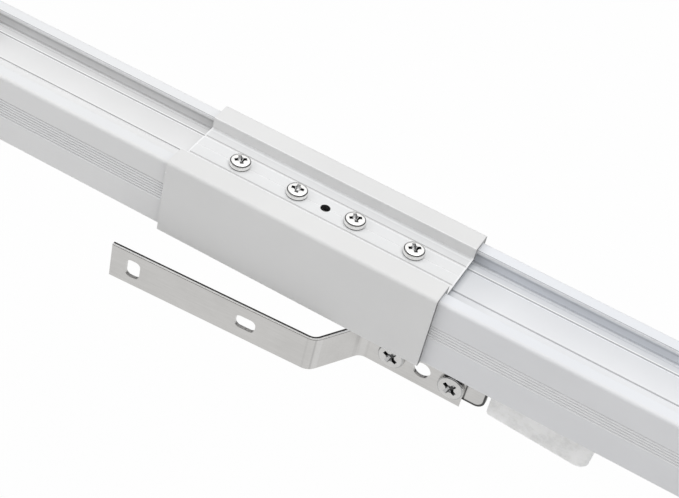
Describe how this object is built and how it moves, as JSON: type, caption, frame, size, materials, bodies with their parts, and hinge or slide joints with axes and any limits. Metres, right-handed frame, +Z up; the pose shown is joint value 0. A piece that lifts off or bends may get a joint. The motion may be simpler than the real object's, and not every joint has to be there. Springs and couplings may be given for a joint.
{
  "type": "electric curtain track",
  "caption": "Ceiling curtain track: joined rails with a belt loop, belt driven carrier with overlap arm, runners, drive and idler housings and clip brackets.",
  "frame": {"origin": "middle of the joint between the two rails, in the plane of the ceiling", "axes": "+X along the track away from the drive end, +Y to the back, +Z up to the ceiling"},
  "size_m": [0.524, 0.067, 0.06],
  "materials": {
    "white_coat": "satin powder coat",
    "bright_steel": "bright nickel plated",
    "zinc_steel": "plated, fine brushed",
    "belt_rubber": "matt white polyurethane",
    "housing_plastic": "fine grain",
    "nylon": "natural nylon, translucent",
    "wheel_plastic": "smooth",
    "stop_rubber": "matt grey",
    "bronze": "sintered"
  },
  "bodies": {
    "track": {"rail_left": "white_coat", "rail_right": "white_coat", "joining_sleeve": "white_coat", "sleeve_screws": "bright_steel", "joint_bar": "zinc_steel", "toothed_belt": "belt_rubber", "drive_casing": "housing_plastic", "drive_cover": "housing_plastic", "idler_casing": "housing_plastic", "idler_cover": "housing_plastic", "cover_screws": "bright_steel", "drive_bushes": "bronze", "idler_axle": "bright_steel", "end_stops": "stop_rubber", "stop_screws": "bright_steel", "bracket_plate_left": "zinc_steel", "bracket_plate_right": "zinc_steel", "bracket_pins": "bright_steel"},
    "carrier": {"carrier_body": "nylon", "carrier_axles": "bright_steel", "belt_clamp": "zinc_steel", "clamp_screws": "bright_steel", "carrier_bracket": "zinc_steel", "bracket_screws": "bright_steel", "overlap_arm": "zinc_steel", "arm_screws": "bright_steel", "arm_nuts": "zinc_steel"},
    "roller_1": {"roller_1": "wheel_plastic"},
    "roller_2": {"roller_2": "wheel_plastic"},
    "roller_3": {"roller_3": "wheel_plastic"},
    "roller_4": {"roller_4": "wheel_plastic"},
    "drive": {"drive_pulley": "nylon", "drive_shaft": "bright_steel"},
    "idler": {"idler_pulley": "nylon"},
    "runner_1": {"runner_1": "nylon"},
    "runner_wheels_1": {"runner_wheels_1": "wheel_plastic"},
    "runner_2": {"runner_2": "nylon"},
    "runner_wheels_2": {"runner_wheels_2": "wheel_plastic"},
    "runner_3": {"runner_3": "nylon"},
    "runner_wheels_3": {"runner_wheels_3": "wheel_plastic"},
    "lock_cam_left": {"lock_cam_left": "housing_plastic"},
    "lock_cam_right": {"lock_cam_right": "housing_plastic"}
  },
  "joints": [
    {"name": "carrier_slide", "type": "slide", "parent": "track", "child": "carrier", "axis": [1, 0, 0], "range_m": [-0.07, 0.069]},
    {"name": "roller_1_spin", "type": "hinge", "parent": "carrier", "child": "roller_1", "pos_m": [0.0523, -0.0079, -0.0293], "axis": [0, 1, 0], "range_deg": [-900, 900]},
    {"name": "roller_2_spin", "type": "hinge", "parent": "carrier", "child": "roller_2", "pos_m": [0.0523, 0.0079, -0.0293], "axis": [0, 1, 0], "range_deg": [-900, 900]},
    {"name": "roller_3_spin", "type": "hinge", "parent": "carrier", "child": "roller_3", "pos_m": [0.1153, -0.0079, -0.0293], "axis": [0, 1, 0], "range_deg": [-900, 900]},
    {"name": "roller_4_spin", "type": "hinge", "parent": "carrier", "child": "roller_4", "pos_m": [0.1153, 0.0079, -0.0293], "axis": [0, 1, 0], "range_deg": [-900, 900]},
    {"name": "drive_spin", "type": "hinge", "parent": "track", "child": "drive", "pos_m": [-0.234, 0, -0.01895], "axis": [0, 0, 1], "range_deg": [-330, 330]},
    {"name": "idler_spin", "type": "hinge", "parent": "track", "child": "idler", "pos_m": [0.234, 0, -0.01895], "axis": [0, 0, 1], "range_deg": [-330, 330]},
    {"name": "runner_1_slide", "type": "slide", "parent": "track", "child": "runner_1", "axis": [1, 0, 0], "range_m": [-0.016, 0.016]},
    {"name": "runner_1_wheels_spin", "type": "hinge", "parent": "runner_1", "child": "runner_wheels_1", "pos_m": [-0.17, 0, -0.0293], "axis": [0, 1, 0], "range_deg": [-210, 210]},
    {"name": "runner_2_slide", "type": "slide", "parent": "track", "child": "runner_2", "axis": [1, 0, 0], "range_m": [-0.016, 0.016]},
    {"name": "runner_2_wheels_spin", "type": "hinge", "parent": "runner_2", "child": "runner_wheels_2", "pos_m": [-0.115, 0, -0.0293], "axis": [0, 1, 0], "range_deg": [-210, 210]},
    {"name": "runner_3_slide", "type": "slide", "parent": "track", "child": "runner_3", "axis": [1, 0, 0], "range_m": [-0.016, 0.016]},
    {"name": "runner_3_wheels_spin", "type": "hinge", "parent": "runner_3", "child": "runner_wheels_3", "pos_m": [-0.06, 0, -0.0293], "axis": [0, 1, 0], "range_deg": [-210, 210]},
    {"name": "lock_cam_left_turn", "type": "hinge", "parent": "track", "child": "lock_cam_left", "pos_m": [-0.186, 0, -0.0049], "axis": [0, 0, 1], "range_deg": [0, 90]},
    {"name": "lock_cam_right_turn", "type": "hinge", "parent": "track", "child": "lock_cam_right", "pos_m": [0.186, 0, -0.0049], "axis": [0, 0, 1], "range_deg": [-90, 0]}
  ],
  "couplings": [
    {"joint": "roller_1_spin", "follows": "carrier_slide", "rad_per_m": 222.22},
    {"joint": "roller_2_spin", "follows": "carrier_slide", "rad_per_m": 222.22},
    {"joint": "roller_3_spin", "follows": "carrier_slide", "rad_per_m": 222.22},
    {"joint": "roller_4_spin", "follows": "carrier_slide", "rad_per_m": 222.22},
    {"joint": "drive_spin", "follows": "carrier_slide", "rad_per_m": 80.554},
    {"joint": "idler_spin", "follows": "carrier_slide", "rad_per_m": 80.554},
    {"joint": "runner_1_wheels_spin", "follows": "runner_1_slide", "rad_per_m": 222.22},
    {"joint": "runner_2_wheels_spin", "follows": "runner_2_slide", "rad_per_m": 222.22},
    {"joint": "runner_3_wheels_spin", "follows": "runner_3_slide", "rad_per_m": 222.22}
  ]
}
